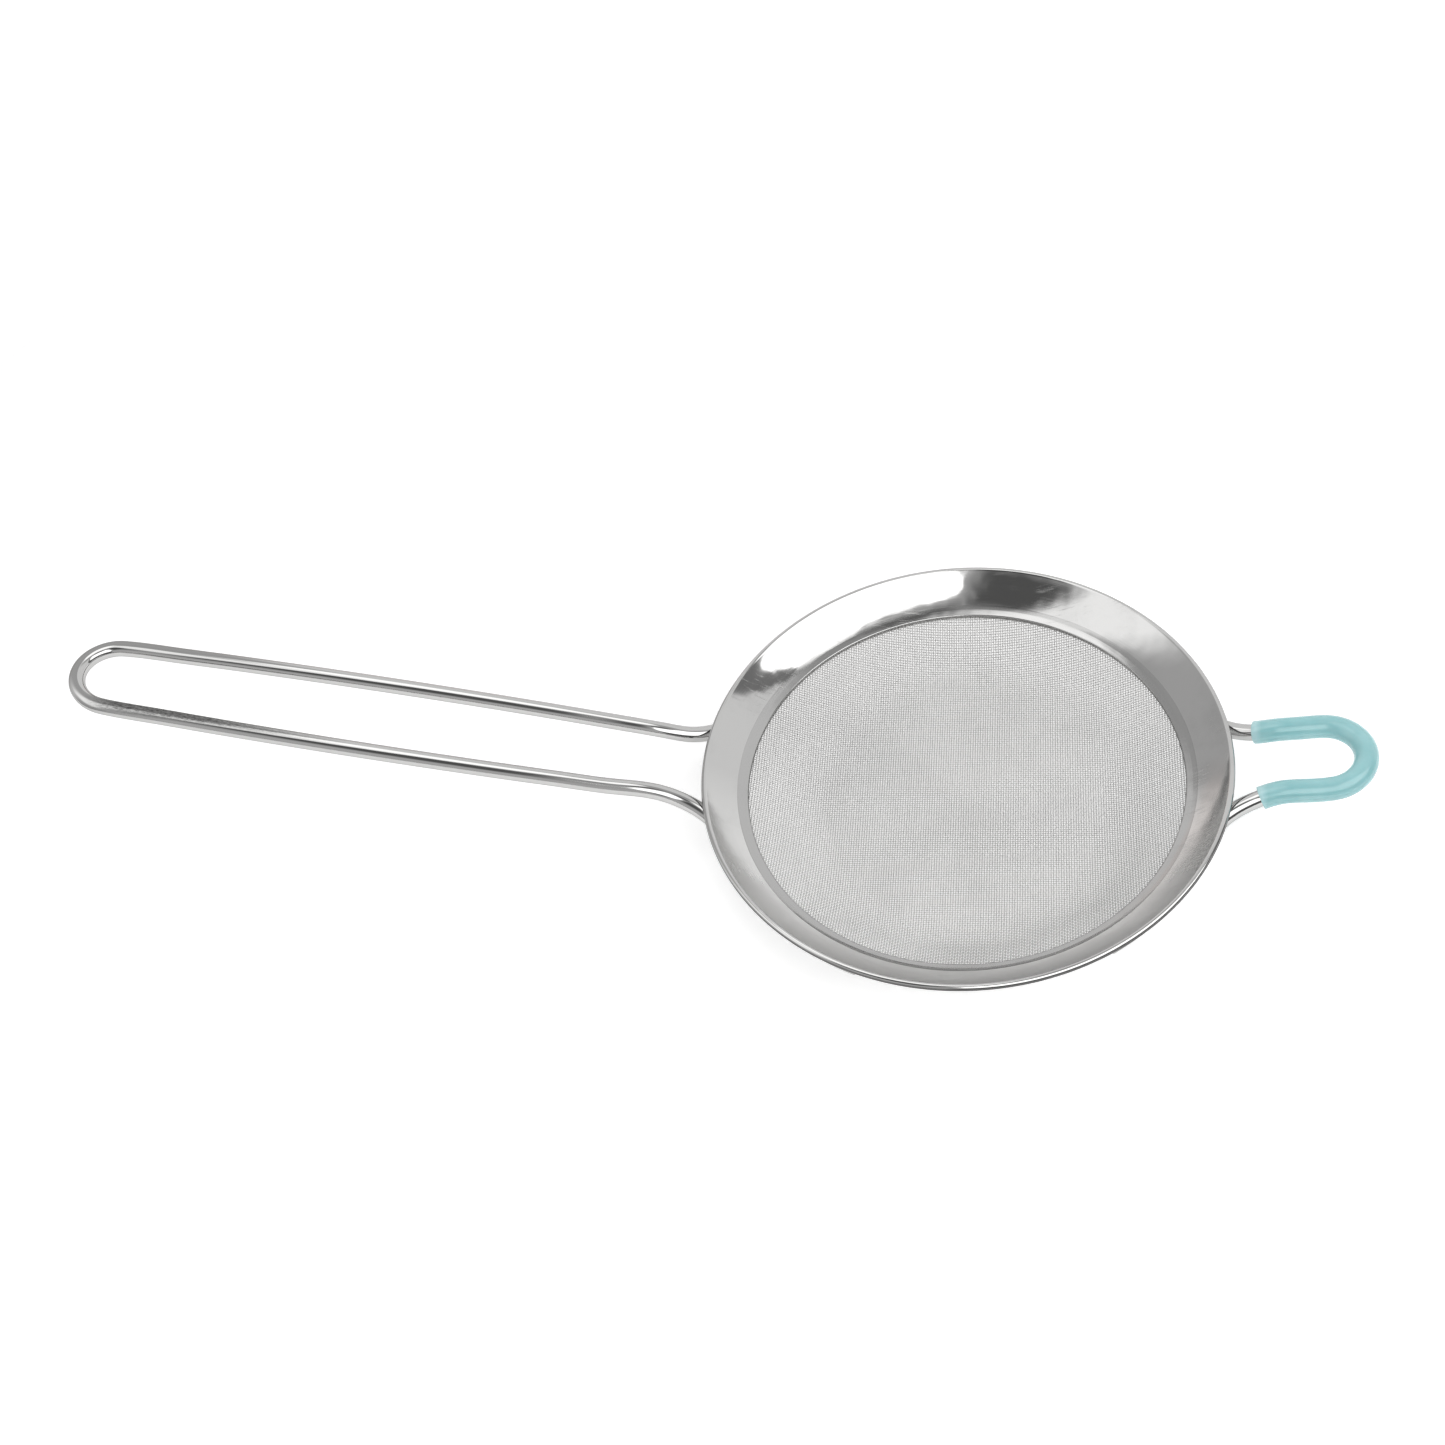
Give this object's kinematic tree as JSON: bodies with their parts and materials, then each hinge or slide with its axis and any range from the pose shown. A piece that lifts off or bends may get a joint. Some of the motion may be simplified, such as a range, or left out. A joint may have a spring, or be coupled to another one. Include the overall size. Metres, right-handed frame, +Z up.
{
  "type": "tea strainer",
  "caption": "Round stainless steel tea strainer with a fine woven mesh dish, a long wire loop handle and an aqua sleeved rest hook.",
  "frame": {"origin": "centre of the flat underside of the mesh dish", "axes": "+Z up through the open dish, +X out along the sleeved hook, -X along the handle"},
  "size_m": [0.2511, 0.102, 0.045],
  "materials": {
    "polished_steel": "polished",
    "wire_cloth": "woven",
    "rod_steel": "bright drawn",
    "aqua_sleeve": "satin translucent"
  },
  "bodies": {
    "root": {"rim_flange": "polished_steel", "mesh_dish": "wire_cloth", "clamp_ring": "polished_steel", "handle_wire": "rod_steel", "hook_wire": "rod_steel", "hook_sleeve": "aqua_sleeve"}
  },
  "joints": []
}
